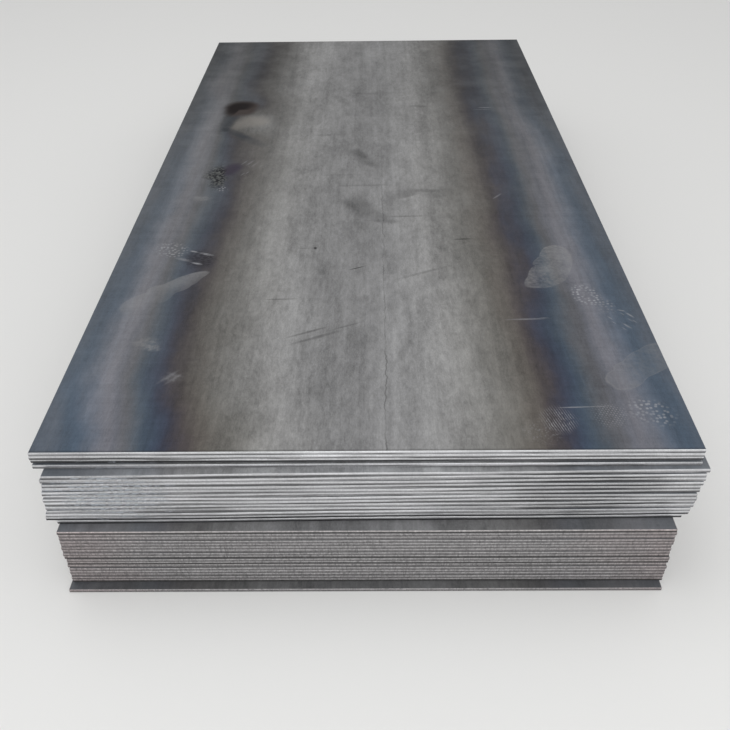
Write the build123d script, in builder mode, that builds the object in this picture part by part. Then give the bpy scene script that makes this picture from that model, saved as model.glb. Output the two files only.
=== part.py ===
"""A stack of hot-rolled steel plates as it stands in a stockyard.

The stack was put down in lifts: a base plate, a lift of flame-cut plates, one narrow plate,
a lift of sheared plates and a top lift. Every plate is one rolled piece with its own slight wave,
so it rests on the crests of the plate below and leaves thin lens-shaped gaps elsewhere.

Frame: origin at the middle of the base plate's underside, +Y along the plates away from the
stepped end, +X to the right across them, +Z up. Millimetres.
"""
from build123d import *

import os
from dataclasses import dataclass
from math import cos, hypot, pi, sqrt
from random import Random

# Plate stock
plate_length = 3000
plate_thickness = 10
plate_width = 1500
sheared_undersize = 6
sheared_width = plate_width - sheared_undersize
narrow_width = 1456
flame_cut_width = 1435

# How many plates each lift holds
flame_cut_count = 17
sheared_count = 12
upper_count = 2

# How far a lift's stepped end stands back from the lift below
flame_cut_step = 22
narrow_step = 29
top_step = 20

# Middle of each lift, to the right of the base plate's middle
flame_cut_shift = 5
narrow_shift = 12
sheared_shift = 16.5
top_shift = 6

# How far the sheared lift has leaned over to the right, from its lowest plate to its top one
sheared_lean = 16

# How far a plate may lie off its lift, sideways, crosswise and turned in degrees
side_scatter = 2.5
end_scatter = 1.2
turn_scatter = 0.03

# Waves left by rolling and levelling: height to the crest, length, and turn off the plate's width
flame_cut_wave_height = 0.45
flame_cut_wave_length = 760
flame_cut_wave_turn = 12
sheared_wave_height = 1.3
sheared_wave_length = 860
sheared_wave_turn = -14
upper_wave_height = 0.3
upper_wave_length = 1100
upper_wave_turn = 10

# The lowest plate of the top lift is bowed along its length, crest in the middle
bow_height = 2.9

# Hairline left where two plates touch
seat_gap = 0.15

# Sheared edge: a smooth upright band under the top corner, then a torn face that leans in
smooth_band = 3.5
tear_lean = 4

# Points on each wave that a rolled face is drawn through
points_per_wave = 6


@dataclass
class Wave:
    """A long shallow wave in a plate, level along its crests."""

    height: float
    length: float
    turn: float = 0.0
    phase: float = 0.0

    def rise(self, along):
        return self.height * cos(2 * pi * along / self.length + self.phase)

    def shifted(self, phase):
        return Wave(self.height, self.length, self.turn, phase)


@dataclass
class Lift:
    """Plates that were set down on the stack together."""

    name: str
    count: int
    width: float
    shift: float
    step: float
    wave: Wave
    sheared: bool
    lean: float = 0.0

    def creep(self, number):
        """How far the lean puts a plate to the right of its lift's middle."""
        return self.lean * ((number - 1) / max(self.count - 1, 1) - 0.5)


def crest_rise(lower, upper):
    """How far the waves alone hold two plates' middles apart, over the plate's thickness."""
    if lower.length == upper.length and lower.turn == upper.turn:
        lag = upper.phase - lower.phase
        product = lower.height * upper.height
        return sqrt(abs(lower.height**2 + upper.height**2 - 2 * product * cos(lag)))
    return lower.height + upper.height


def rolled_slab(wave, bottom, reach):
    """Section of the plate across its wave, run out beyond the plate's outline."""
    across = Vector(1, 0, 0).rotate(Axis.Z, wave.turn)
    along_crests = across.cross(Vector(0, 0, 1))
    start = Vector(0, 0, bottom) - along_crests * reach
    spans = int(2 * reach / wave.length * points_per_wave) + 1
    stations = [reach * (2 * i / spans - 1) for i in range(spans + 1)]

    with BuildPart() as slab:
        with BuildSketch(Plane(origin=start, x_dir=across, z_dir=along_crests)):
            with BuildLine():
                if wave.height:
                    under = Spline(*[(s, wave.rise(s)) for s in stations])
                    over = Spline(*[(s, wave.rise(s) + plate_thickness) for s in stations])
                else:
                    under = Line((-reach, 0), (reach, 0))
                    over = Line((-reach, plate_thickness), (reach, plate_thickness))
                Line(under @ 0, over @ 0)
                Line(under @ 1, over @ 1)
            make_face()
        extrude(amount=2 * reach)
    return slab.part


def cutting_block(width, middle, turn, bottom, wave, sheared):
    """What the shear or torch leaves standing: the outline's upright faces and the torn ones."""
    crosswise = Vector(1, 0, 0).rotate(Axis.Z, turn)
    tear_line = bottom + plate_thickness - smooth_band
    break_point = Vector(middle.X, middle.Y, tear_line)
    with BuildPart() as block:
        with BuildSketch(Plane(origin=break_point, x_dir=crosswise, z_dir=(0, 0, 1))):
            Rectangle(width, plate_length)
        extrude(amount=smooth_band + 2 * wave.height + plate_thickness)
        with BuildSketch(Plane(origin=break_point, x_dir=crosswise, z_dir=(0, 0, -1))):
            Rectangle(width, plate_length)
        extrude(amount=2 * wave.height + plate_thickness, taper=tear_lean if sheared else 0)
    return block.part


def cut_plate(width, wave, middle, turn, bottom, sheared):
    """One plate: its waved slab trimmed to its outline."""
    reach = hypot(width, plate_length) / 2 + hypot(middle.X, middle.Y) + plate_thickness
    with BuildPart() as plate:
        add(rolled_slab(wave, bottom, reach))
        add(cutting_block(width, middle, turn, bottom, wave, sheared), mode=Mode.INTERSECT)
    return plate


flat = Wave(0, plate_length)
flame_cut_wave = Wave(flame_cut_wave_height, flame_cut_wave_length, flame_cut_wave_turn)
sheared_wave = Wave(sheared_wave_height, sheared_wave_length, sheared_wave_turn)
upper_wave = Wave(upper_wave_height, upper_wave_length, upper_wave_turn)
bowed = Wave(bow_height, plate_length, 90)

# From the ground up
lifts = [
    Lift("base_plate", 1, flame_cut_width, 0, 0, flat, False),
    Lift("flame_cut_plate", flame_cut_count, flame_cut_width, flame_cut_shift, flame_cut_step,
         flame_cut_wave, False),
    Lift("narrow_plate", 1, narrow_width, narrow_shift, narrow_step, sheared_wave, True),
    Lift("sheared_plate", sheared_count, sheared_width, sheared_shift, 0, sheared_wave, True,
         sheared_lean),
    Lift("bowed_plate", 1, plate_width, top_shift, top_step, bowed, True),
    Lift("upper_plate", upper_count, plate_width, top_shift, 0, upper_wave, True),
    Lift("top_plate", 1, plate_width, top_shift, 0, flat, True),
]

os.makedirs("parts", exist_ok=True)
chance = Random(12)
bottom = 0
stepped_back = 0
wave_below = None
for lift in lifts:
    stepped_back += lift.step
    for number in range(1, lift.count + 1):
        wave = lift.wave
        middle = Vector(lift.shift + lift.creep(number), stepped_back)
        turn = 0
        if lift.name != "base_plate":
            if lift.name != "bowed_plate":
                wave = wave.shifted(chance.uniform(-pi, pi))
            middle += Vector(side_scatter * chance.uniform(-1, 1), end_scatter * chance.uniform(-1, 1))
            turn = turn_scatter * chance.uniform(-1, 1)
            bottom += plate_thickness + crest_rise(wave_below, wave) + seat_gap
        plate = cut_plate(lift.width, wave, middle, turn, bottom, lift.sheared)
        name = lift.name if lift.count == 1 else f"{lift.name}_{number:02d}"
        plate.part.label = name
        export_step(plate.part, f"parts/{name}.step")
        wave_below = wave
print("stack height", round(bottom + plate_thickness, 1))
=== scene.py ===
from math import atan2, cos, hypot, pi, radians, sin

import bmesh
import bpy
from mathutils import Matrix, Vector, noise
from mathutils.bvhtree import BVHTree


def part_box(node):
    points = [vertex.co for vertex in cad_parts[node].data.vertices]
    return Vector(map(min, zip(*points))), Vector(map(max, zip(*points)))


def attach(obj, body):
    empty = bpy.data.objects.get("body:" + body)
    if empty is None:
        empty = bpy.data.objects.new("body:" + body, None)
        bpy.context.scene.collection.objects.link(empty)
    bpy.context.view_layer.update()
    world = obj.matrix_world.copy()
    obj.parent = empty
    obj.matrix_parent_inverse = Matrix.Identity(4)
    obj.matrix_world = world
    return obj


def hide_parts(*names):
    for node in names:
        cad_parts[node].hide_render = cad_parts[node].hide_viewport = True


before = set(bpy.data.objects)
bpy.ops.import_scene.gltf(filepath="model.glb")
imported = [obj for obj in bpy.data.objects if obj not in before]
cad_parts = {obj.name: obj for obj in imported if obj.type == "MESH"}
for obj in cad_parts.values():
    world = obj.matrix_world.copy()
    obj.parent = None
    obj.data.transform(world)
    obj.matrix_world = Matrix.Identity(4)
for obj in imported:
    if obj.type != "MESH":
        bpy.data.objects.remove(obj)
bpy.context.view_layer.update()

# Mill scale: the skin of blue-grey oxide that hot rolling leaves on both faces of every plate. It is
# matt and cloudy, streaked the way the plate was rolled, and takes dark temper colours towards the
# long sides, which cooled first.


class Wire:
    """A node's output, which adds, multiplies and divides as a number does."""

    def __init__(self, socket):
        self.socket = socket

    def node(self, kind, settings, inputs, output=0):
        """Any other node: its kind, its settings, which are set first, and what its inputs take."""
        tree = self.socket.id_data
        made = tree.nodes.new("ShaderNode" + kind)
        for name, value in settings.items():
            if name == "stops":
                elements = made.color_ramp.elements
                elements[0].position, elements[-1].position = value[0][0], value[-1][0]
                elements[0].color, elements[-1].color = (*value[0][1], 1), (*value[-1][1], 1)
                for place, colour in value[1:-1]:
                    elements.new(place).color = (*colour, 1)
                made.color_ramp.interpolation = "CARDINAL"
            else:
                setattr(made, name, value)
        for name, value in inputs.items():
            if isinstance(value, Wire):
                tree.links.new(value.socket, made.inputs[name])
            else:
                made.inputs[name].default_value = value
        return Wire(made.outputs[output])

    def __add__(self, other):
        return self.node("Math", {"operation": "ADD"}, {0: self, 1: other})

    def __sub__(self, other):
        return self.node("Math", {"operation": "SUBTRACT"}, {0: self, 1: other})

    def __rsub__(self, other):
        return self.node("Math", {"operation": "SUBTRACT"}, {0: other, 1: self})

    def __mul__(self, other):
        return self.node("Math", {"operation": "MULTIPLY"}, {0: self, 1: other})

    def __truediv__(self, other):
        return self.node("Math", {"operation": "DIVIDE"}, {0: self, 1: other})

    def __rtruediv__(self, other):
        return self.node("Math", {"operation": "DIVIDE"}, {0: other, 1: self})

    def __pow__(self, other):
        return self.node("Math", {"operation": "POWER"}, {0: self, 1: other})

    def __rpow__(self, other):
        return self.node("Math", {"operation": "POWER"}, {0: other, 1: self})

    def __abs__(self):
        return self.node("Math", {"operation": "ABSOLUTE"}, {0: self})

    __radd__ = __add__
    __rmul__ = __mul__

    def part(self, name):
        """Another output of the same node."""
        return Wire(self.socket.node.outputs[name])


def new_finish(name, metallic, roughness):
    """A material with its shader, and the place on the part that its patterns read."""
    material = bpy.data.materials.new(name)
    material.use_nodes = True
    shader = material.node_tree.nodes["Principled BSDF"]
    shader.inputs["Metallic"].default_value = metallic
    shader.inputs["Roughness"].default_value = roughness
    place = Wire(material.node_tree.nodes.new("ShaderNodeTexCoord").outputs["Object"])
    return material, shader, place


def feed(shader, socket, wire):
    shader.id_data.links.new(wire.socket, shader.inputs[socket])


def stretched(place, x, y, z):
    """The place with each axis scaled, so that a pattern is drawn out along the others."""
    return place.node("Mapping", {}, {"Vector": place, "Scale": (x, y, z)})


def clouds(place, scale, detail=2.0, roughness=0.5, distortion=0.0):
    """Soft noise from 0 to 1 with its middle at a half."""
    inputs = {"Vector": place, "Scale": scale, "Detail": detail, "Roughness": roughness}
    return place.node("TexNoise", {}, {**inputs, "Distortion": distortion})


def between(value, low, high, start=0.0, end=1.0):
    """Rises smoothly from start to end while value goes from low to high."""
    inputs = {"Value": value, "From Min": low, "From Max": high, "To Min": start, "To Max": end}
    return value.node("MapRange", {"interpolation_type": "SMOOTHSTEP"}, inputs)


def mixed(factor, first, second, blend="MIX"):
    """Two colours mixed by a mask or a number."""
    source = next(v for v in (factor, first, second) if isinstance(v, Wire))
    first = first if isinstance(first, Wire) else (*first, 1)
    second = second if isinstance(second, Wire) else (*second, 1)
    settings = {"data_type": "RGBA", "blend_type": blend}
    return source.node("Mix", settings, {0: factor, 6: first, 7: second}, output=2)


def grey(value):
    """A number as a colour, for mixing."""
    return value.node("CombineColor", {}, {0: value, 1: value, 2: value})


# Colours across the plate, from its middle line outwards in metres
band_width = 0.76
scale_bands = [
    (0.00, (0.205, 0.205, 0.207)),
    (0.12, (0.225, 0.225, 0.226)),
    (0.21, (0.222, 0.221, 0.219)),
    (0.29, (0.182, 0.180, 0.174)),
    (0.36, (0.124, 0.119, 0.111)),
    (0.415, (0.086, 0.078, 0.073)),
    (0.45, (0.052, 0.048, 0.055)),
    (0.485, (0.045, 0.053, 0.075)),
    (0.525, (0.063, 0.078, 0.098)),
    (0.57, (0.102, 0.105, 0.115)),
    (0.605, (0.130, 0.134, 0.152)),
    (0.632, (0.156, 0.158, 0.177)),
    (0.662, (0.127, 0.138, 0.163)),
    (0.705, (0.074, 0.094, 0.122)),
    (0.755, (0.085, 0.097, 0.116)),
]


def scale_colour(place, centre, bend, strength=1.0, plain=(0.2, 0.2, 0.2)):
    """The scale's own colour: bands that wander along the plate, streaks, clouds and grain."""
    across = place.node("SeparateXYZ", {}, {0: place})
    drift = clouds(stretched(place, 0.6, 1.3, 1.0), 1.0, 3.0) - 0.5
    ripple = clouds(stretched(place, 9.0, 3.5, 1.0), 1.0, 5.0, 0.65) - 0.5
    outward = abs(across - centre) + drift * 0.09 + ripple * 0.095 + bend
    stops = [(place_out / band_width, colour) for place_out, colour in scale_bands]
    bands = outward.node("ValToRGB", {"stops": stops}, {0: outward / band_width})
    bands = mixed(strength, plain, bands)
    streaks = clouds(stretched(place, 34.0, 0.7, 1.0), 1.0, 4.0, 0.75) - 0.5
    broad_streaks = clouds(stretched(place, 9.0, 0.45, 1.0), 1.0, 3.0, 0.6) - 0.5
    wisps = clouds(stretched(place, 3.0, 60.0, 1.0), 1.0, 4.0, 0.8) - 0.5
    cloudy = clouds(stretched(place, 1.0, 0.30, 1.0), 6.0, 7.0, 0.95) - 0.5
    worms = clouds(stretched(place, 1.0, 0.5, 1.0), 34.0, 3.0, 0.7, 1.6) - 0.5
    grain = clouds(stretched(place, 1.0, 0.5, 1.0), 330.0, 1.0, 0.7) - 0.5
    pebbly = between(abs(outward - 0.31), 0.08, 0.22, 0.62, 0.28)
    tone = 1.0 + streaks * 0.60 + broad_streaks * 0.85 + worms * pebbly + grain * 0.30
    tone = tone + cloudy * between(outward, 0.25, 0.5, 2.3, 1.1)
    tone = tone + wisps * between(outward, 0.3, 0.5, 0.15, 0.40)
    return mixed(1.0, bands, grey(tone), "MULTIPLY")


def scale_relief(place):
    """Height of the scale: a fine pebble with long shallow rolling marks."""
    pebble = clouds(place, 260.0, 3.0, 0.6)
    rolling = clouds(stretched(place, 60.0, 4.0, 1.0), 1.0, 3.0)
    return pebble * 0.6 + rolling * 0.6


def finish_scale(shader, place, colour, sheen=0.35):
    """Gives a shader the scale's colour, its uneven sheen and its relief."""
    shader.inputs["Specular IOR Level"].default_value = sheen
    feed(shader, "Base Color", colour)
    feed(shader, "Roughness", between(clouds(place, 9.0, 4.0), 0.25, 0.75, 0.42, 0.6))
    relief = scale_relief(place)
    bump = relief.node("Bump", {}, {"Strength": 0.35, "Distance": 0.0008, "Height": relief})
    feed(shader, "Normal", bump)


pale_scale = (0.37, 0.38, 0.395)
blue_scale = (0.05, 0.065, 0.085)
scale_finish, shader, place = new_finish("mill_scale", 0.2, 0.5)
colour = scale_colour(place, 0.01, 0.0, 0.45, pale_scale)
across = place.node("SeparateXYZ", {}, {0: place})
towards_sides = between(abs(across + 0.08), 0.40, 0.60, 0.0, 0.38)
towards_sides = towards_sides + between(across, -0.62, -0.50, 0.20, 0.0)
finish_scale(shader, place, mixed(towards_sides, colour, blue_scale))

# Sheared edges: the plates of the upper lifts were cut on a guillotine. The blade draws the top
# corner in, shears a smooth bright band below it and tears the rest, which leans in and is rougher
# and greyer.

# Each row runs round the plate: how far in from its outline, how deep below its top face, and the
# finish of the strip that ends there, in metres. The last but one is the burr that the tear leaves.
scale_strip, bright_strip, dull_strip = 0, 1, 2
sheared_rows = [
    (0.0026, 0.0, scale_strip),
    (0.0011, 0.00025, scale_strip),
    (0.0003, 0.0008, bright_strip),
    (0.0, 0.0015, bright_strip),
    (0.0, 0.0050, bright_strip),
    (0.00025, 0.0072, dull_strip),
    (0.00040, 0.0098, dull_strip),
    (0.00035, 0.0104, dull_strip),
    (0.0009, 0.010, dull_strip),
]
burr_row, tear_line_row = 7, 4


def plate_to_plate(place, amount):
    """A tone that differs from plate to plate up the stack and slowly along each edge."""
    return (clouds(stretched(place, 1.6, 1.6, 70.0), 1.0, 2.0, 0.6) - 0.5) * amount


def spot(place, x, y, length, width, turn=0.0, bow=0.0):
    """Distance from a mark's middle, 1 at its outline: an ellipse that may bend."""
    settings = {"vector_type": "TEXTURE"}
    inputs = {"Location": (x, y, 0), "Rotation": (0, 0, radians(turn))}
    inputs["Scale"] = (length / 2, width / 2, 1000)
    own = place.node("Mapping", settings, {"Vector": place, **inputs})
    if not bow:
        return own.node("VectorMath", {"operation": "LENGTH"}, {0: own}, output="Value")
    along = own.node("SeparateXYZ", {}, {0: own})
    across = along.part("Y") + along * along * bow
    return (along * along + across * across) ** 0.5


def inside(distance, soft):
    """1 inside a mark and 0 outside it, over a soft rim."""
    return between(distance, 1.0 - soft, 1.0 + soft, 1.0, 0.0)


def gap_shade(place, low_tone, high_tone):
    """Long stretches along each edge that lie deeper in shade or stand clear, plate by plate."""
    stretches = clouds(stretched(place, 3.2, 3.2, 95.0), 1.0, 2.0, 0.6)
    return between(stretches, 0.40, 0.60, low_tone, high_tone)


def face_spot(place, x, z, length, height, ragged, soft):
    """A mask on the near end as seen face on, with a ragged outline."""
    seen = place.node("SeparateXYZ", {}, {0: place})
    face_on = place.node("CombineXYZ", {}, {0: seen, 1: seen.part("Z"), 2: 0.0})
    near_end = between(seen.part("Y"), -1.2, -0.8, 1.0, 0.0)
    return inside(spot(face_on, x, z, length, height) + ragged, soft) * near_end


def burrs(place):
    """Where burrs hang over the gaps at the near left, mottled and with a few dark openings."""
    ragged = clouds(stretched(place, 26.0, 26.0, 90.0), 1.0, 4.0, 0.7) - 0.5
    zone = face_spot(place, x=-0.575, z=0.285, length=0.240, height=0.130, ragged=ragged * 2.4, soft=0.35)
    openings = clouds(stretched(place, 110.0, 110.0, 300.0), 1.0, 3.0, 0.7)
    return zone * between(openings, 0.40, 0.54)


def wide_gap_shade(place):
    """Painted shade where the gaps between the plates stand widest, at the near right."""
    ragged = clouds(stretched(place, 7.0, 7.0, 60.0), 1.0, 3.0, 0.6) - 0.5
    return face_spot(place, x=0.500, z=0.285, length=0.330, height=0.135, ragged=ragged * 2.6, soft=0.45)


top_lift_foot, top_lift_clear = 0.343, 0.350


def top_lift(place, middle_tone, left_tone):
    """A tone for the top lift's edges alone: lighter overall, with painted shade at their left end."""
    seen = place.node("SeparateXYZ", {}, {0: place})
    tone = between(seen, -0.60, -0.34, left_tone, middle_tone)
    return 1.0 + (tone - 1.0) * between(seen.part("Z"), top_lift_foot, top_lift_clear)


bright_steel = (0.61, 0.615, 0.63)
smooth_finish, shader, place = new_finish("sheared_band", 0.75, 0.36)
scores = clouds(stretched(place, 700.0, 700.0, 60.0), 1.0, 3.0, 0.8) - 0.5
patches = clouds(place, 14.0, 4.0, 0.65) - 0.5
tone = 1.0 + scores + patches * 0.55 + plate_to_plate(place, 0.8)
upper_stretch = face_spot(place, x=-0.435, z=0.377, length=0.16, height=0.008, ragged=patches, soft=0.4)
lower_stretch = face_spot(place, x=-0.41, z=0.232, length=0.15, height=0.03, ragged=patches * 2.0, soft=0.6)
dull_stretch = upper_stretch * 0.60 + lower_stretch * 0.30
tone = tone * (1.0 - dull_stretch) * gap_shade(place, 0.90, 1.05)
# The top lift's edges are lighter, with painted shade at their left end
tone = tone * top_lift(place, 1.10, 0.98)
# Painted shade: the smooth band is darker where the gaps between the plates stand widest
tone = tone * (1.0 - burrs(place) * 0.30) * (1.0 - wide_gap_shade(place) * 0.18)
feed(shader, "Base Color", mixed(1.0, bright_steel, grey(tone), "MULTIPLY"))
feed(shader, "Roughness", between(patches, -0.3, 0.3, 0.3, 0.5))
feed(shader, "Normal", scores.node("Bump", {}, {"Strength": 0.5, "Distance": 0.0006, "Height": scores}))

torn_steel = (0.275, 0.275, 0.284)
torn_steel_in_shade = (0.060, 0.060, 0.064)
# painted_gap_shade is the near black painted over the torn faces as the shade of the widest gaps
painted_gap_shade = (0.030, 0.030, 0.032)
hanging_burr = (0.42, 0.455, 0.50)


def torn_face(name, colour, low_tone, high_tone):
    """The torn part of a sheared edge: gritty, in shade by stretches, closed by burrs at one place."""
    finish, shader, place = new_finish(name, 0.5, 0.6)
    grit = clouds(stretched(place, 420.0, 420.0, 260.0), 1.0, 3.0, 0.8) - 0.5
    patches = clouds(place, 11.0, 4.0, 0.65) - 0.5
    tone = 1.0 + grit * 1.5 + patches * 0.6 + plate_to_plate(place, 0.9)
    tone = tone * gap_shade(place, low_tone, high_tone) * top_lift(place, 1.25, 0.85)
    torn = mixed(1.0, colour, grey(tone), "MULTIPLY")
    # Painted shade: the torn face turns near black where the gaps between the plates stand widest
    torn = mixed(wide_gap_shade(place) * 0.80, torn, painted_gap_shade)
    feed(shader, "Base Color", mixed(burrs(place) * 0.85, torn, hanging_burr))
    bump = grit.node("Bump", {}, {"Strength": 0.8, "Distance": 0.0008, "Height": grit})
    feed(shader, "Normal", bump)
    return finish


torn_finish = torn_face("sheared_tear", torn_steel, 0.48, 1.20)
shaded_tear_finish = torn_face("shaded_tear", torn_steel_in_shade, 0.60, 1.20)

# The sides are cut into short lengths, so that the cut can wander as the real one does: in short
# steps and in long ones, so many over half the plate's width and half its length
coarse_across, coarse_along, fine_cuts = 10, 20, 14
short_across, short_along, short_per_row = 60, 120, 1.7
long_across, long_along, long_start = 9, 18, 3.0
unlike_next_plate = 57.0
corner_inset = 0.002
ray_start = 0.01
same_point = 1e-5


def plate_piece(name, rows, finishes, wander, tear_wander, off_square=(0.0, 0.0)):
    """A plate on its CAD solid's outline and waves, with its cut edges as rows round it.

    Its near end may stand off square: so far along the plate at its left corner and its right one.
    """
    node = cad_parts[name]
    mesh = node.data
    solid = BVHTree.FromPolygons([v.co for v in mesh.vertices], [p.vertices for p in mesh.polygons])
    corners = {
        (i, j): max((v.co for v in mesh.vertices), key=lambda co: i * co.x + j * co.y)
        for i in (-1, 1) for j in (-1, 1)
    }
    low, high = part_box(name)
    width = (corners[1, 1] - corners[-1, 1]).length
    length = (corners[1, 1] - corners[1, -1]).length
    seed = Vector((0.0, 0.0, unlike_next_plate * low.z))

    def on_outline(u, v, inset, off_left=0.0, off_right=0.0):
        u *= 1 - 2 * inset / width
        v *= 1 - 2 * inset / length
        near = corners[-1, -1].lerp(corners[1, -1], (u + 1) / 2)
        far = corners[-1, 1].lerp(corners[1, 1], (u + 1) / 2)
        off = (off_left * (1 - u) + off_right * (1 + u)) / 2
        return near.lerp(far, (v + 1) / 2) + Vector((0, off * (1 - v) / 2, 0))

    form = bmesh.new()
    bmesh.ops.create_grid(form, x_segments=coarse_across, y_segments=coarse_along, size=1.0)
    rolled = form.faces[:]
    underside = bmesh.ops.duplicate(form, geom=form.verts[:] + form.edges[:] + rolled)["geom"]
    under_verts = [g for g in underside if isinstance(g, bmesh.types.BMVert)]
    bmesh.ops.translate(form, verts=under_verts, vec=(0, 0, len(rows) - 1))
    rim = [e for e in form.edges if e.is_boundary]
    bmesh.ops.subdivide_edges(form, edges=rim, cuts=fine_cuts)
    ring = [e for e in form.edges if e.is_boundary and e.verts[0].co.z == 0]
    for row in range(1, len(rows)):
        made = bmesh.ops.extrude_edge_only(form, edges=ring)["geom"]
        bmesh.ops.translate(form, verts=[g for g in made if isinstance(g, bmesh.types.BMVert)], vec=(0, 0, 1))
        ring = [g for g in made if isinstance(g, bmesh.types.BMEdge) and all(v.co.z == row for v in g.verts)]
        for face in (g for g in made if isinstance(g, bmesh.types.BMFace)):
            face.material_index = rows[row][2]
    bmesh.ops.remove_doubles(form, verts=form.verts, dist=same_point)

    heights = {}
    for vert in form.verts:
        u, v, row = vert.co.x, vert.co.y, round(vert.co.z)
        inset, depth, finish = rows[row]
        if (u, v) not in heights:
            at = on_outline(u, v, corner_inset)
            top = solid.ray_cast(Vector((at.x, at.y, high.z + ray_start)), Vector((0, 0, -1)))[0]
            under = solid.ray_cast(Vector((at.x, at.y, low.z - ray_start)), Vector((0, 0, 1)))[0]
            heights[u, v] = (top.z, under.z)
        top_z, under_z = heights[u, v]
        rough = noise.noise(Vector((u * short_across, v * short_along, row * short_per_row)) + seed)
        broad = noise.noise(Vector((u * long_across, v * long_along, long_start)) + seed)
        if row == burr_row and tear_wander:
            depth += tear_wander * (0.4 + rough + broad)
        elif finish == bright_strip:
            inset += wander * 0.5 * (1 + broad)
            depth += tear_wander * broad if row == tear_line_row else 0
        elif 0 < row < len(rows) - 1:
            inset += wander * (1 + rough)
        at = on_outline(u, v, inset, *off_square)
        share = depth / rows[-1][1]
        vert.co = (at.x, at.y, top_z * (1 - share) + under_z * share)
    bmesh.ops.recalc_face_normals(form, faces=form.faces)

    piece = bpy.data.objects.new("dressed_" + name, bpy.data.meshes.new("dressed_" + name))
    form.to_mesh(piece.data)
    form.free()
    for finish in finishes:
        piece.data.materials.append(finish)
    bpy.context.scene.collection.objects.link(piece)
    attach(piece, "root")
    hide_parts(name)
    return piece


# The middle lift stands turned a little, its near end forward at the left corner and back at the
# right one, by so many metres
middle_lift_off = (-0.004, 0.0075)
over_wide_gaps = ("upper_plate_01", "sheared_plate_01", "narrow_plate")
sheared_names = sorted(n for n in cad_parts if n.startswith(("sheared", "narrow", "bowed", "upper")))
cut_wander, tear_wander = 0.00008, 0.0007
for name in sheared_names:
    tear = shaded_tear_finish if name in over_wide_gaps else torn_finish
    finishes = (scale_finish, smooth_finish, tear)
    turned = middle_lift_off if name.startswith(("sheared", "narrow")) else (0.0, 0.0)
    plate = plate_piece(name, sheared_rows, finishes, cut_wander, tear_wander, turned)

# Flame-cut edges: the lower lift and the base plate were cut with a torch. The edge is square, melted
# round at its top corner, scored with fine drag lines from top to bottom, and dull brown-grey with
# oxide.

flame_cut_rows = [
    (0.0010, 0.0, scale_strip),
    (0.0003, 0.0003, bright_strip),
    (0.0, 0.0010, bright_strip),
    (0.0, 0.0034, bright_strip),
    (0.0, 0.0060, dull_strip),
    (0.0, 0.0088, dull_strip),
    (0.0009, 0.010, dull_strip),
]


def flame_cut_finish(name, colour):
    """Oxide on a torch-cut edge: drag lines, grit, and a rusty tinge towards the plate's sides."""
    finish, shader, place = new_finish(name, 0.2, 0.62)
    drag_lines = clouds(stretched(place, 300.0, 300.0, 50.0), 1.0, 4.0, 0.8) - 0.5
    grit = clouds(place, 170.0, 3.0, 0.8) - 0.5
    patches = clouds(stretched(place, 5.0, 5.0, 9.0), 1.0, 4.0, 0.6) - 0.5
    tone = 1.0 + drag_lines * 2.0 + grit * 1.9 + patches * 0.2 + plate_to_plate(place, 0.4)
    across = place.node("SeparateXYZ", {}, {0: place})
    rusty = between(abs(across) + patches * 0.4, 0.42, 0.8) * 0.55
    tinted = mixed(rusty, colour, (colour[0] * 0.98, colour[1] * 0.82, colour[2] * 0.80))
    feed(shader, "Base Color", mixed(1.0, tinted, grey(tone), "MULTIPLY"))
    relief = drag_lines + grit * 0.5
    bump = relief.node("Bump", {}, {"Strength": 0.8, "Distance": 0.0008, "Height": relief})
    feed(shader, "Normal", bump)
    return finish


melted_finish = flame_cut_finish("flame_cut_rim", (0.315, 0.306, 0.309))
flame_finish = flame_cut_finish("flame_cut_edge", (0.150, 0.145, 0.147))
shaded_flame_finish = flame_cut_finish("flame_cut_edge_in_shade", (0.060, 0.058, 0.058))
# Painted highlight: the top rim of the highest flame-cut plate is much lighter, as if catching the light
top_rim_highlight_finish = flame_cut_finish("flame_cut_top_rim_highlight", (0.42, 0.40, 0.40))

# Their scale is darker, and darkest on the base plate
dark_scale = (0.170, 0.172, 0.178)
dark_scale_finish, shader, place = new_finish("dark_mill_scale", 0.2, 0.55)
colour = scale_colour(place, 0.0, 0.0, 0.35, dark_scale)
height = place.node("SeparateXYZ", {}, {0: place}).part("Z")
off_ground = between(height, 0.015, 0.05, 0.70, 1.0)
finish_scale(shader, place, mixed(1.0, colour, grey(off_ground), "MULTIPLY"))

plates_in_shade = tuple(f"flame_cut_plate_{number}" for number in ("01", "07", "09", "17"))
torch_wander = 0.00012
for name in sorted(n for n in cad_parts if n.startswith(("flame", "base"))):
    rim = top_rim_highlight_finish if name == "flame_cut_plate_17" else melted_finish
    edge = shaded_flame_finish if name in plates_in_shade else flame_finish
    plate = plate_piece(name, flame_cut_rows, (dark_scale_finish, rim, edge), torch_wander, 0.0)

# Top plate: the sheared plate that is seen whole. Its scale carries what happened to it since it was
# rolled: a spot that cooled apart, smears of dust, scratches, shoe prints and one fine wavy crack.

top_finish, shader, place = new_finish("top_mill_scale", 0.12, 0.5)
top_low, top_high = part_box("top_plate")
top_middle = (top_low + top_high) / 2
place = place.node("Mapping", {}, {"Vector": place, "Location": (-top_middle.x, -top_middle.y, 0)})
parts = place.node("SeparateXYZ", {}, {0: place})
across, along = parts, parts.part("Y")
frayed = clouds(place, 22.0, 4.0, 0.7) - 0.5
fine = clouds(place, 90.0, 3.0, 0.7) - 0.5

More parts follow.
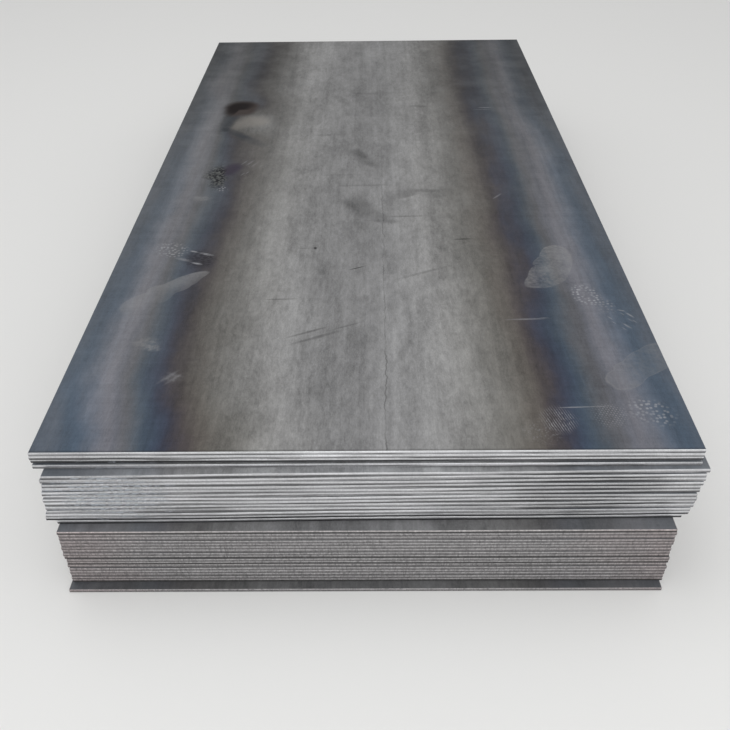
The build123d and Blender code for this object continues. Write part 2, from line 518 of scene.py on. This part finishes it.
# The bands run closer in on the right, lean out towards its near end, and step round the spot.
# On the left the pale band outside the blue one is nearer to it, and on the right the blue is wide.
right_side = between(across, -0.1, 0.1)
bend = right_side * between(along, -1.5, 0.6, -0.004, 0.022)
left_side = 1.0 - right_side
bend = bend - left_side * between(along, 0.62, 0.85, 0.0, 0.048) * between(along, 0.90, 1.25, 1.0, 0.45)
bend = bend - left_side * between(along, -1.45, -1.15, 0.0, 0.018) * between(along, -0.6, -0.1, 1.0, 0.2)
bend = bend + left_side * between(along, -1.5, -1.2, 0.035, 0.0)
bend = bend + between(across, -0.62, -0.54, 0.030, 0.0)
bend = bend - between(abs(across - 0.495), 0.02, 0.06, 0.020, 0.0) * between(along, -1.0, -0.75)
bend = bend - inside(spot(place, -0.470, 0.425, 0.20, 0.24, bow=0.3), 0.55) * 0.11
bend = bend - inside(spot(place, -0.50, 0.20, 0.10, 0.36), 0.6) * 0.03
colour = scale_colour(place, -0.004, bend)

# Painted reflection: the scale is brighter and stronger in colour near the front, duller and darker towards
# the far end
saturation = between(along, -1.5, 0.9, 1.25, 0.80) - left_side * between(along, -1.5, -1.1, 0.0, 0.25)
colour = colour.node("HueSaturation", {}, {"Color": colour, "Saturation": saturation})
colour = mixed(1.0, colour, grey(between(along, -1.4, 1.5, 1.06, 0.90)), "MULTIPLY")
# Painted shade: darker still at the far sides
far_side_shade = between(along, -0.1, 1.3) * between(abs(across), 0.30, 0.44)
far_side_shade = far_side_shade * between(abs(across), 0.62, 0.72, 0.42, 0.56)
colour = mixed(1.0, colour, grey(1.0 - far_side_shade), "MULTIPLY")

# The scale is darker along the near cut
near_cut_darkening = between(along, -1.4985, -1.4905, 0.58, 1.0)
colour = mixed(1.0, colour, grey(near_cut_darkening), "MULTIPLY")


def like_marks(place, turn, slimness, soft, marks, total=0.0):
    """Adds up marks that lie one way and are equally slim: each is x, y, length and strength."""
    lean = radians(turn)
    inputs = {"Rotation": (0, 0, lean), "Scale": (1, 1 / slimness, 1000)}
    own = place.node("Mapping", {"vector_type": "TEXTURE"}, {"Vector": place, **inputs})
    for x, y, length, strength in marks:
        centre = (x * cos(lean) + y * sin(lean), (y * cos(lean) - x * sin(lean)) * slimness, 0)
        away = own.node("VectorMath", {"operation": "DISTANCE"}, {0: own, 1: centre}, "Value")
        reach = length / 2
        mark = away + frayed * reach
        total = total + between(mark, reach * (1 - soft), reach * (1 + soft), strength, 0.0)
    return total


def outlined(place, corners):
    """Distance from a mark's middle, 1 at its outline, for an outline through corners in order."""
    x = sum(corner[0] for corner in corners) / len(corners)
    y = sum(corner[1] for corner in corners) / len(corners)
    own = place.node("VectorMath", {"operation": "SUBTRACT"}, {0: place, 1: (x, y, 0)})
    own = own.node("SeparateXYZ", {}, {0: own})
    sides = own.part("Y")
    bearing = own.node("Math", {"operation": "ARCTAN2"}, {0: sides, 1: own}) / (2 * pi) + 0.5
    reaches = sorted((atan2(cy - y, cx - x) / (2 * pi) + 0.5, hypot(cx - x, cy - y)) for cx, cy in corners)
    (first, first_reach), (last, last_reach) = reaches[0], reaches[-1]
    seam = (first_reach * (1 - last) + last_reach * first) / (first + 1 - last)
    stops = [(at, (reach,) * 3) for at, reach in [(0.0, seam), *reaches, (1.0, seam)]]
    reach = bearing.node("ValToRGB", {"stops": stops}, {0: bearing})
    return (own * own + sides * sides) ** 0.5 / reach


# Dust smears, bruises and dark scratches
long_bruise = outlined(place, [
    (-0.095, -0.281), (-0.056, -0.347), (-0.004, -0.395), (0.040, -0.428), (0.093, -0.440),
    (0.083, -0.408), (0.045, -0.365), (0.018, -0.324), (-0.027, -0.266), (-0.073, -0.262),
]) + frayed * 0.6
far_bruise = outlined(place, [
    (0.086, -0.270), (0.111, -0.205), (0.173, -0.183), (0.219, -0.190), (0.293, -0.229),
    (0.231, -0.255), (0.171, -0.235),
]) + frayed * 0.8
smears_leaning_left = [
    (-0.060, -0.300, 0.08, 0.16), (-0.030, 0.115, 0.10, 0.26), (-0.005, 0.050, 0.12, 0.24),
    (0.025, 0.000, 0.08, 0.18), (-0.095, 0.630, 0.06, 0.18), (-0.115, 0.680, 0.11, 0.18),
]
smears_across = [
    (0.200, -0.205, 0.09, 0.16), (-0.015, 0.745, 0.09, 0.20), (0.215, 0.590, 0.08, 0.24),
    (-0.060, 0.728, 0.04, 0.18), (0.060, -0.425, 0.08, 0.14),
]
smears_leaning_right = [(0.118, -0.238, 0.09, 0.12)]
clouded_places = [
    (0.085, 0.165, 0.08, 0.14), (0.260, -0.100, 0.20, 0.07), (-0.200, 0.500, 0.14, 0.07),
    (0.280, 1.300, 0.09, 0.22), (-0.157, -0.596, 0.014, 0.85), (-0.150, 0.290, 0.022, 0.25),
    (0.190, -0.770, 0.07, 0.16), (0.240, -0.775, 0.05, 0.16), (-0.005, -0.885, 0.045, 0.16),
]
scratches_across = [
    (0.130, -0.392, 0.12, 0.26), (-0.150, 0.290, 0.12, 0.16), (-0.010, -0.160, 0.16, 0.22),
    (-0.100, -0.074, 0.14, 0.13), (-0.240, -0.882, 0.08, 0.34), (-0.180, -0.596, 0.06, 0.22),
    (0.300, -0.546, 0.06, 0.70), (-0.088, -1.156, 0.06, 0.12),
]
scratches_leaning = [
    (-0.158, -1.044, 0.100, 0.40), (-0.130, -1.066, 0.13, 0.36), (-0.050, -1.014, 0.07, 0.30),
    (-0.028, -0.716, 0.045, 0.85), (0.170, -0.742, 0.14, 0.24),
]
scratches_steep = [(0.104, -1.120, 0.10, 0.16), (0.086, -1.146, 0.10, 0.16)]
shade = inside(long_bruise, 0.45) * 0.24 + inside(far_bruise, 0.5) * 0.22
shade = like_marks(place, -52, 2.4, 0.5, smears_leaning_left, shade)
shade = like_marks(place, -6, 3.6, 0.5, smears_across, shade)
shade = like_marks(place, 30, 2.4, 0.6, smears_leaning_right, shade)
shade = like_marks(place, 90, 1.4, 0.6, clouded_places, shade)
shade = like_marks(place, 2, 11.0, 0.5, scratches_across, shade)
shade = like_marks(place, 25, 12.0, 0.6, scratches_leaning, shade)
shade = like_marks(place, 72, 9.0, 0.7, scratches_steep, shade)
colour = mixed(1.0, colour, grey(1.0 - shade), "MULTIPLY")

# The spot that cooled apart: black, with a rusty rim, a tail into the blue band and a pale glow
glow_colour = (0.215, 0.200, 0.180)
tail_colour = (0.020, 0.024, 0.030)
rusty_black = (0.046, 0.031, 0.026)
cool_spot = outlined(place, [
    (-0.586, 0.567), (-0.581, 0.628), (-0.540, 0.659), (-0.495, 0.654), (-0.463, 0.625),
    (-0.464, 0.569), (-0.480, 0.522), (-0.522, 0.507), (-0.555, 0.500),
]) + frayed * 0.15
glow = outlined(place, [
    (-0.545, 0.370), (-0.518, 0.441), (-0.470, 0.489), (-0.418, 0.470), (-0.400, 0.420),
    (-0.423, 0.391), (-0.476, 0.377),
]) + frayed * 0.3
lit = inside(glow, 0.5) * between(across * 0.6 + along, 0.06, 0.20, 0.40, 0.68)
colour = mixed(lit, colour, glow_colour)
tail = like_marks(place, 86, 3.4, 0.5, [(-0.562, 0.450, 0.19, 0.75), (-0.556, 0.390, 0.12, 0.3)])
tail = like_marks(place, -44, 3.6, 0.5, [(-0.510, 0.310, 0.15, 0.6), (-0.450, 0.245, 0.16, 0.4)], tail)
colour = mixed(tail, colour, tail_colour)
colour = mixed(inside(cool_spot, 0.30), colour, rusty_black)
black_core = outlined(place, [
    (-0.590, 0.567), (-0.583, 0.628), (-0.540, 0.655), (-0.500, 0.648), (-0.484, 0.610),
    (-0.500, 0.575), (-0.535, 0.560), (-0.560, 0.510),
]) + frayed * 0.15
blackness = inside(black_core, 0.5) * 0.55 + inside(cool_spot, 0.30) * 0.31

# A scuff of dark grit further on, with crumbs of loose scale
purple_scale = (0.036, 0.028, 0.048)
crumb_colour = (0.125, 0.130, 0.120)
grit_colour = (0.010, 0.010, 0.013)
scuff = outlined(place, [
    (-0.555, -0.032), (-0.537, 0.004), (-0.519, -0.015), (-0.511, -0.063), (-0.504, -0.116),
    (-0.504, -0.156), (-0.534, -0.156), (-0.550, -0.110),
]) + frayed * 0.7
grit = between(clouds(place, 105.0, 2.0, 0.6), 0.38, 0.62)
purple = inside(spot(place, -0.490, -0.022, 0.105, 0.060, 70) + frayed * 0.5, 0.45)
colour = mixed(purple * 0.90, colour, purple_scale)
colour = mixed(inside(scuff, 0.5) * 0.75, colour, mixed(grit, crumb_colour, grit_colour))
blackness = blackness + inside(scuff, 0.5) * (0.10 + grit * 0.50) + purple * 0.16

# Shoe prints in pale dust
dust_colour = (0.260, 0.260, 0.262)
sole = outlined(place, [
    (0.450, -0.818), (0.466, -0.770), (0.492, -0.712), (0.518, -0.655), (0.535, -0.612), (0.556, -0.593),
    (0.583, -0.590), (0.606, -0.613), (0.614, -0.660), (0.604, -0.715), (0.583, -0.770), (0.539, -0.819),
    (0.487, -0.833),
]) + frayed * 0.07
sole_rim = between(abs(sole - 0.96), 0.01, 0.06, 1.0, 0.0) * between(across - along, 1.14, 1.24, 1.0, 0.0)
sole_dust = inside(sole, 0.05) * (0.38 + frayed * 0.7 + fine * 0.7) + sole_rim * (0.12 + frayed * 0.6)
wedge = outlined(place, [
    (-0.462, -0.731), (-0.517, -0.742), (-0.554, -0.770), (-0.583, -0.798), (-0.629, -0.845),
    (-0.676, -0.892), (-0.668, -0.950), (-0.612, -0.960), (-0.575, -0.900), (-0.540, -0.846),
    (-0.500, -0.805), (-0.477, -0.765),
]) + frayed * 0.06
from_edge = between(along - across, -0.36, -0.22)
wedge_dust = inside(wedge, 0.05) * (0.05 + from_edge * 0.30 + between(across, -0.60, -0.5, 0.0, 0.18))
wedge_dust = wedge_dust * (1.0 + frayed * 0.9 + fine * 0.5)
haze = inside(spot(place, -0.605, -0.955, 0.15, 0.16) + frayed * 0.6, 0.6) * (0.10 + frayed * 0.3)
clean_sole = outlined(place, [
    (0.583, -1.244), (0.610, -1.211), (0.646, -1.173), (0.696, -1.129), (0.760, -1.100), (0.790, -1.160),
    (0.747, -1.206), (0.714, -1.228), (0.680, -1.253), (0.618, -1.291), (0.590, -1.274),
]) + frayed * 0.10
clean_dust = inside(clean_sole, 0.05) * (0.24 + frayed * 0.4 + fine * 0.4)
clean_rim = between(abs(clean_sole - 0.97), 0.01, 0.05, 1.0, 0.0) * 0.12
soft_patches = [
    (-0.575, -1.085, 0.08, 0.32), (-0.545, -1.112, 0.04, 0.30), (-0.563, -0.250, 0.06, 0.34),
    (-0.600, 0.300, 0.05, 0.22), (-0.477, -1.238, 0.05, 0.26),
]
smudges = like_marks(place, -10, 1.6, 0.6, soft_patches)
fan = like_marks(place, -58, 5.0, 0.8, [(-0.385, -1.240, 0.24, 0.13)])
fan = like_marks(place, 22, 5.0, 0.8, [(-0.285, -1.350, 0.14, 0.13)], fan)
dust = sole_dust + wedge_dust + haze + clean_dust + clean_rim + (smudges + fan) * (1.0 + fine * 3.0)

# Chalky marks of the soles' tread: studs, bars and a mesh
studs = {"Vector": place, "Scale": 80.0, "Randomness": 0.80}
studs = place.node("TexVoronoi", {"voronoi_dimensions": "2D"}, studs)
stud = between(studs, 0.16, 0.40, 1.0, 0.0)
upright_prints = [(0.612, -0.868, 0.100, 1.10), (0.655, -0.925, 0.07, 0.35), (-0.500, -0.180, 0.045, 0.80)]
slanting_prints = [(-0.596, -0.600, 0.100, 0.70), (0.662, -1.372, 0.105, 0.62)]
print_area = like_marks(place, 100, 1.4, 0.35, upright_prints)
print_area = like_marks(place, -35, 1.25, 0.35, slanting_prints, print_area)
chalk = print_area * stud * (0.62 + frayed * 3.2)
bar_pitch, cross_bar_pitch = 0.0060, 0.0080
bars = across + along * 0.30 + frayed * 0.006 + fine * 0.005
bar = between(bars.node("Math", {"operation": "SINE"}, {0: bars * (2 * pi / bar_pitch)}), -0.2, 0.9)
bar_area = inside(spot(place, 0.444, -1.398, 0.075, 0.085, 15) + frayed * 0.6, 0.35)
chalk = chalk + bar_area * bar * (0.32 + frayed * 1.4 + fine)
cross_bars = along + across * 0.35 + frayed * 0.008
cross_bar = cross_bars * (2 * pi / cross_bar_pitch)
cross_bar = cross_bar.node("Math", {"operation": "SINE"}, {0: cross_bar})
mesh_area = inside(spot(place, 0.566, -1.382, 0.075, 0.080, 10) + frayed * 1.2, 0.4)
chalk = chalk + mesh_area * between(cross_bar, -0.2, 0.9) * bar * (0.42 + frayed * 2.0)
grain = clouds(place, 210.0, 2.0, 0.7)
rubbed_area = inside(spot(place, 0.395, -1.440, 0.080, 0.070) + frayed, 0.5)
chalk = chalk + rubbed_area * between(grain, 0.52, 0.66) * 0.22

# Pale scratches, and the black gap that one print left beside its strokes
pale_lines_across = [
    (0.435, -0.988, 0.090, 0.30), (0.478, -0.982, 0.022, 0.45), (0.490, -1.354, 0.060, 0.45),
    (0.545, -1.352, 0.050, 0.24), (0.485, 0.567, 0.055, 0.45), (0.470, 0.545, 0.070, 0.22),
]
pale_strokes = [
    (-0.526, -0.612, 0.024, 0.60), (-0.486, -0.628, 0.040, 0.50), (-0.550, -0.660, 0.045, 0.32),
    (-0.506, -0.683, 0.030, 0.60), (-0.472, -1.222, 0.040, 0.12), (0.694, -0.950, 0.018, 0.40),
]
curved_tread = [
    (0.711, -0.972, 0.024, 0.44), (0.706, -0.995, 0.018, 0.20), (0.691, -1.022, 0.026, 0.36),
    (0.655, -0.985, 0.016, 0.28), (0.660, -1.007, 0.014, 0.22), (0.716, -1.001, 0.016, 0.26),
    (0.692, -0.966, 0.014, 0.26), (0.681, -1.036, 0.016, 0.20),
]
far_tread = [
    (-0.450, 0.036, 0.034, 0.20), (-0.428, 0.034, 0.040, 0.22), (-0.409, 0.022, 0.036, 0.16),
    (-0.386, 0.005, 0.026, 0.12), (-0.444, -0.062, 0.024, 0.24), (-0.428, -0.048, 0.020, 0.26),
]
pale_hooks = [(0.440, -0.252, 0.040, 0.25), (-0.487, -1.228, 0.055, 0.16), (-0.474, -1.240, 0.045, 0.14)]
chalk = like_marks(place, 2, 14.0, 0.6, pale_lines_across, chalk)
chalk = like_marks(place, -22, 3.6, 0.6, pale_strokes, chalk)
chalk = like_marks(place, 50, 6.0, 0.6, pale_hooks, chalk)
chalk = like_marks(place, -55, 4.0, 0.6, curved_tread, chalk)
chalk = like_marks(place, 62, 5.5, 0.6, far_tread, chalk)
chalk_colour = (0.36, 0.365, 0.385)
black_gap_colour = (0.022, 0.020, 0.028)
black_gap = inside(spot(place, -0.500, -0.660, 0.085, 0.10, 20) + frayed * 0.8, 0.4) * 0.5
colour = mixed(black_gap, colour, black_gap_colour)
blackness = blackness + black_gap * grit * 0.7
colour = mixed(between(dust, 0.0, 1.0) * 0.9, colour, dust_colour)
colour = mixed(chalk * (1.0 + fine * 1.5), colour, chalk_colour)

# The crack, a hair wide, that wanders down the middle and is plainest near the front
crack_colour = (0.045, 0.045, 0.045)
wander_wide = clouds(stretched(place, 0.0, 2.4, 1.0), 1.0, 2.0) - 0.5
wander_fine = clouds(stretched(place, 0.0, 24.0, 1.0), 1.0, 3.0, 0.7) - 0.5
off_crack = abs(across - 0.052 + wander_wide * 0.024 + wander_fine * 0.020)
broken = between(clouds(stretched(place, 1.0, 9.0, 1.0), 1.0, 3.0), 0.38, 0.58)
crack = between(off_crack, 0.0008, 0.0024, 1.0, 0.0) * (0.30 + broken * 0.70)
crack = crack * between(along, -0.9, 0.5, 0.50, 0.10)
colour = mixed(crack, colour, crack_colour)

top_sheen = 0.18
finish_scale(shader, place, colour, top_sheen)

# Where it is black the scale has no sheen
matt = {"Base Color": (0.013, 0.012, 0.013, 1), "Roughness": 0.9, "Specular IOR Level": 0.0}
soot = place.node("BsdfPrincipled", {}, matt)
both = place.node("MixShader", {}, {0: blackness, 1: Wire(shader.outputs[0]), 2: soot})
tree = top_finish.node_tree
tree.links.new(both.socket, tree.nodes["Material Output"].inputs["Surface"])

cut_wander, tear_wander = 0.00006, 0.0005
finishes = (top_finish, smooth_finish, torn_finish)
plate = plate_piece("top_plate", sheared_rows, finishes, cut_wander, tear_wander)

# Floor: a plain, pale and level floor, matt all over, that the stack stands on and that takes its
# shadow. It isn't part of the stack.

half_floor = 40.0
floor_colour = (0.80, 0.80, 0.79)
form = bmesh.new()
bmesh.ops.create_grid(form, x_segments=1, y_segments=1, size=half_floor)
floor = bpy.data.objects.new("floor", bpy.data.meshes.new("floor"))
form.to_mesh(floor.data)
form.free()
floor_finish, shader, _ = new_finish("floor", 0.0, 0.9)
shader.inputs["Base Color"].default_value = (*floor_colour, 1)
floor.data.materials.append(floor_finish)
bpy.context.scene.collection.objects.link(floor)

# Light: an even pale sky all round, a wide soft lamp above the stack, and a stronger one of the same
# size low in front of it.

sky_strength = 0.68
world = bpy.data.worlds.new("studio")
bpy.context.scene.world = world
world.use_nodes = True
sky = world.node_tree.nodes["Background"]
sky.inputs["Color"].default_value = (1.0, 1.0, 1.0, 1)
sky.inputs["Strength"].default_value = sky_strength

lamp_size = 4.0
aimed_at = Vector((0, 0, 0.2))
for name, stands_at, power in (
    ("overhead_lamp", (-1.5, 0.5, 6.0), 50.0),
    ("front_lamp", (0.6, -6.5, 4.3), 185.0),
):
    lamp = bpy.data.lights.new(name, "AREA")
    lamp.shape = "SQUARE"
    lamp.size = lamp_size
    lamp.energy = power
    holder = bpy.data.objects.new(name, lamp)
    holder.location = stands_at
    holder.rotation_mode = "QUATERNION"
    holder.rotation_quaternion = (aimed_at - Vector(stands_at)).to_track_quat("-Z", "Y")
    bpy.context.scene.collection.objects.link(holder)

# Camera: it stands at eye height before the stack's short end and looks down along the plates. Its
# place and lens were worked out from the corners of the top plate.

camera_offset = Vector((0.019, -2.862, 1.281))
camera_pitch, camera_yaw, camera_roll = radians(37.40), radians(-0.73), radians(-0.79)
camera = bpy.data.cameras.new("camera")
camera.sensor_width = 36.0
camera.lens = 41.56
holder = bpy.data.objects.new("camera", camera)
level_right = Vector((cos(camera_yaw), -sin(camera_yaw), 0))
ahead = Vector((sin(camera_yaw) * cos(camera_pitch), cos(camera_yaw) * cos(camera_pitch), -sin(camera_pitch)))
level_up = level_right.cross(ahead)
right = level_right * cos(camera_roll) + level_up * sin(camera_roll)
up = level_up * cos(camera_roll) - level_right * sin(camera_roll)
turn = Matrix((right, up, -ahead)).transposed().to_4x4()
stands_at = Vector((top_middle.x, top_middle.y, top_high.z)) + camera_offset
holder.matrix_world = Matrix.Translation(stands_at) @ turn
bpy.context.scene.collection.objects.link(holder)
bpy.context.scene.camera = holder
bpy.context.scene.view_settings.view_transform = "Standard"
